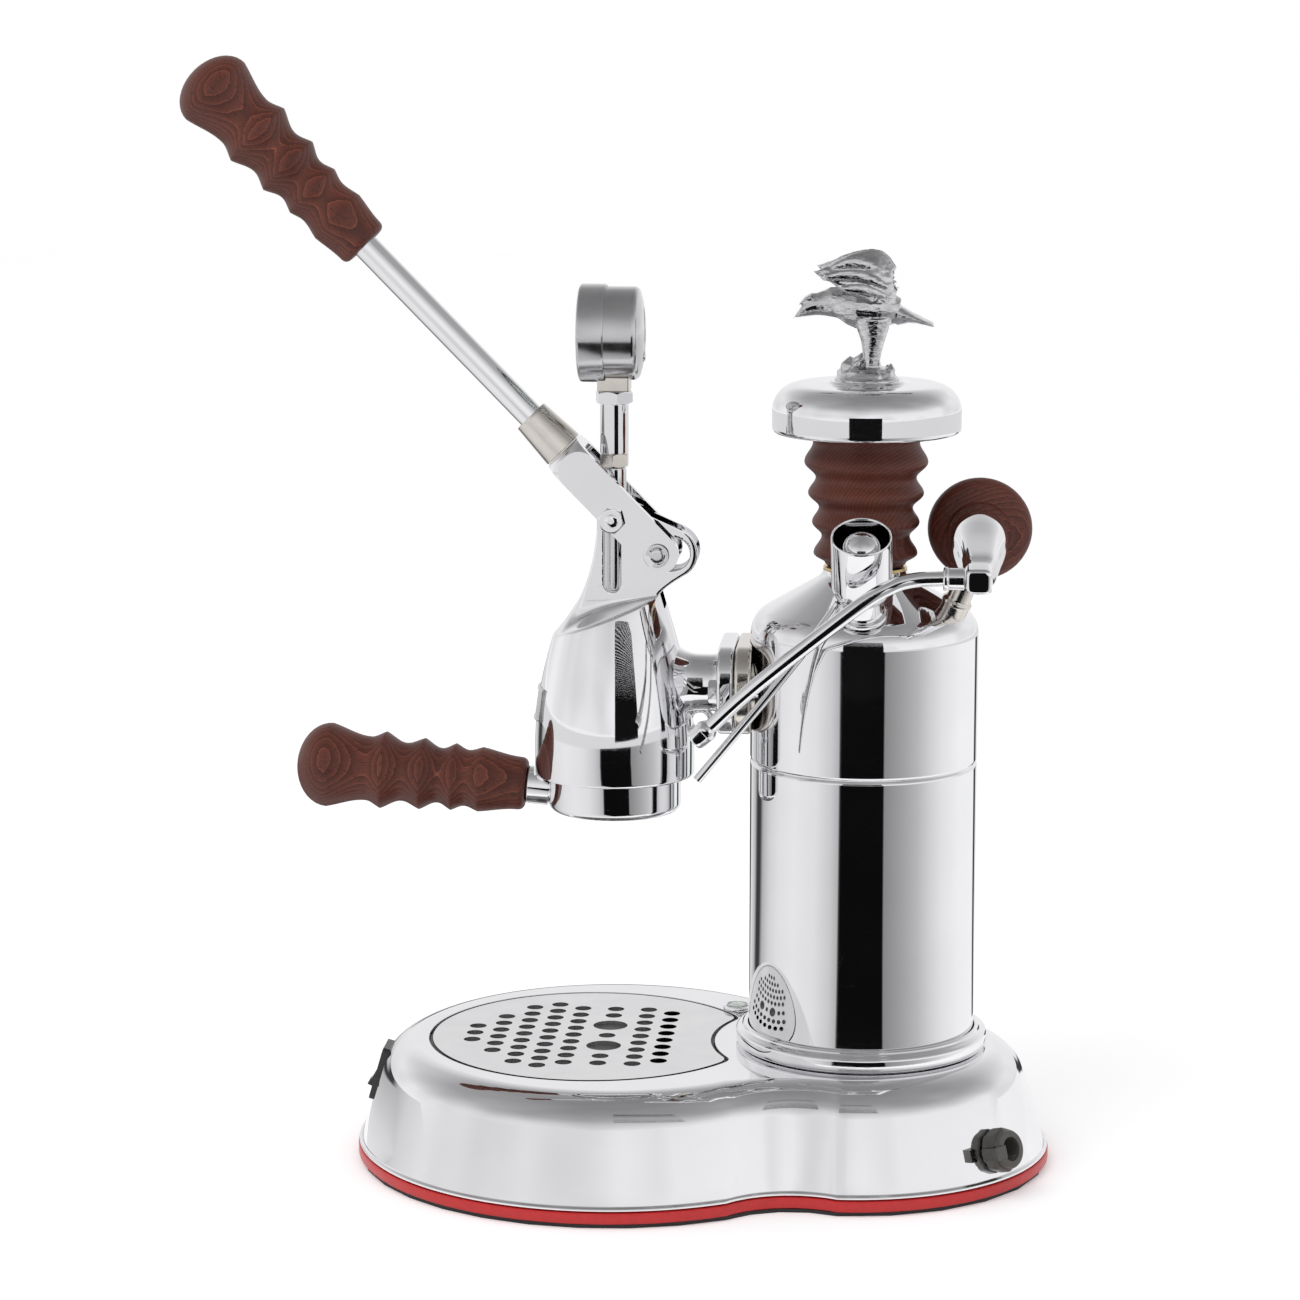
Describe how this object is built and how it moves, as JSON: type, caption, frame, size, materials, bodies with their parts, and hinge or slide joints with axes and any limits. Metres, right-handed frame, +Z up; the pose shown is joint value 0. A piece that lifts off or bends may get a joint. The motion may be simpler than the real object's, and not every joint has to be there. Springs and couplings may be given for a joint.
{
  "type": "lever espresso machine",
  "caption": "Manual lever espresso machine: lobed chrome base, upright boiler, slotted-ear group with a wood-gripped lever, rod-top gauge, eagle-topped filler cap, steam wand.",
  "frame": {"origin": "centre of the base's length and width on the surface it stands on", "axes": "+X towards the boiler at the back, -X towards the operator, +Y to the operator's left, +Z up"},
  "size_m": [0.3587, 0.214, 0.4571],
  "materials": {
    "chrome": "mirror chrome plate",
    "nickel": "nickel plate, worn to a warm tone",
    "brass": "plain turned brass",
    "steel": "polished stainless steel",
    "wood": "satin varnish",
    "red_rubber": "satin",
    "black_rubber": "matte",
    "black_plastic": "semi gloss",
    "grey_plastic": "satin",
    "glass": "clear",
    "white_enamel": "satin white"
  },
  "bodies": {
    "base": {"base_shell": "chrome", "base_trim": "red_rubber", "bottom_plate": "black_rubber", "switch_body": "black_plastic", "pilot_lamp": "glass", "cable_gland": "grey_plastic", "boiler_shell": "chrome", "boiler_collar": "chrome", "boiler_nut": "brass", "heating_element": "brass", "sight_fitting_lower": "chrome", "sight_fitting_upper": "chrome", "sight_glass": "glass", "safety_valve_body": "chrome", "safety_valve_cap": "chrome", "drain_tube": "nickel", "tap_body": "chrome", "wand_nut": "chrome", "group_casting": "chrome", "boiler_flange": "nickel", "flange_bolt_left": "chrome", "flange_bolt_right": "chrome", "group_sleeve": "brass", "group_gasket": "black_rubber", "shower_screen": "steel"},
    "drip_tray": {"drip_tray": "steel"},
    "drip_grille": {"drip_grille": "steel"},
    "rocker": {"power_rocker": "black_plastic"},
    "valve_ball": {"safety_valve_ball": "steel", "safety_valve_spring": "steel"},
    "tap_stem": {"tap_spindle": "steel"},
    "tap_knob": {"tap_knob": "wood"},
    "wand": {"wand_pipe": "chrome", "wand_nozzle": "chrome"},
    "cap_seal": {"cap_seal": "black_rubber"},
    "cap": {"cap_plug": "brass", "cap_grip": "wood", "cap_disc": "chrome", "cap_finial": "chrome"},
    "piston": {"piston": "brass", "piston_seal_lower": "black_rubber", "piston_seal_upper": "black_rubber", "piston_rod": "steel", "gauge_adapter": "nickel", "gauge_case": "chrome", "gauge_bezel": "chrome", "gauge_glass": "glass", "gauge_dial": "white_enamel"},
    "gauge_pointer": {"gauge_pointer": "black_plastic"},
    "lever": {"lever_fork": "chrome", "lever_ferrule": "nickel", "lever_rod": "steel", "lever_grip": "wood", "front_bolt": "chrome", "rear_pin": "steel", "retaining_ring": "steel"},
    "roller": {"rear_roller": "steel"},
    "portafilter": {"portafilter_body": "chrome", "portafilter_grip": "wood", "portafilter_basket": "steel"}
  },
  "joints": [
    {"name": "lever_swing", "type": "hinge", "parent": "piston", "child": "lever", "pos_m": [-0.0368, 0, 0.2706], "axis": [0, 1, 0], "range_deg": [-63, 0]},
    {"name": "piston_stroke", "type": "slide", "parent": "base", "child": "piston", "axis": [0, 0, 1], "range_m": [-0.0242, 0]},
    {"name": "roller_spin", "type": "hinge", "parent": "lever", "child": "roller", "pos_m": [-0.0181, 0, 0.2562], "axis": [0, 1, 0], "continuous": true},
    {"name": "gauge_reading", "type": "hinge", "parent": "piston", "child": "gauge_pointer", "pos_m": [-0.0464, 0, 0.3459], "axis": [1, 0, 0], "range_deg": [0, 270], "stiffness_Nm_per_rad": 0.0002, "springref_deg": -17.19},
    {"name": "tap_turn", "type": "hinge", "parent": "tap_stem", "child": "tap_knob", "pos_m": [0.113, 0.00184, 0.26359], "axis": [0, 0.9925, 0.1219], "range_deg": [0, 540]},
    {"name": "tap_rise", "type": "slide", "parent": "base", "child": "tap_stem", "axis": [0, 0.9925, 0.1219], "range_m": [0, 0.0019]},
    {"name": "wand_swivel", "type": "hinge", "parent": "base", "child": "wand", "pos_m": [0.1, -0.06, 0.256], "axis": [-1, 0, 0], "range_deg": [0, 75]},
    {"name": "cap_turn", "type": "hinge", "parent": "cap_seal", "child": "cap", "pos_m": [0.0664, 0, 0.25], "axis": [0, 0, 1], "range_deg": [0, 1980]},
    {"name": "cap_rise", "type": "slide", "parent": "base", "child": "cap_seal", "axis": [0, 0, 1], "range_m": [0, 0.0111]},
    {"name": "valve_lift", "type": "slide", "parent": "base", "child": "valve_ball", "axis": [0, -0.5, 0.866], "range_m": [0, 0.0008], "stiffness_N_per_m": 800, "springref_m": -0.002},
    {"name": "power_switch", "type": "hinge", "parent": "base", "child": "rocker", "pos_m": [-0.13451, 0, 0.03202], "axis": [0, 1, 0], "range_deg": [-16, 0]},
    {"name": "portafilter_lock", "type": "hinge", "parent": "base", "child": "portafilter", "pos_m": [-0.0368, 0, 0.155], "axis": [0, 0, 1], "range_deg": [-50, 0]},
    {"name": "tray_lift", "type": "slide", "parent": "base", "child": "drip_tray", "axis": [0, 0, 1], "range_m": [0, 0.035]},
    {"name": "grille_lift", "type": "slide", "parent": "drip_tray", "child": "drip_grille", "axis": [0, 0, 1], "range_m": [0, 0.035]}
  ],
  "couplings": [
    {"joint": "piston_stroke", "follows": "lever_swing", "m_per_rad": 0.021945},
    {"joint": "tap_rise", "follows": "tap_turn", "m_per_rad": 0.00019894},
    {"joint": "cap_rise", "follows": "cap_turn", "m_per_rad": 0.00031831}
  ]
}
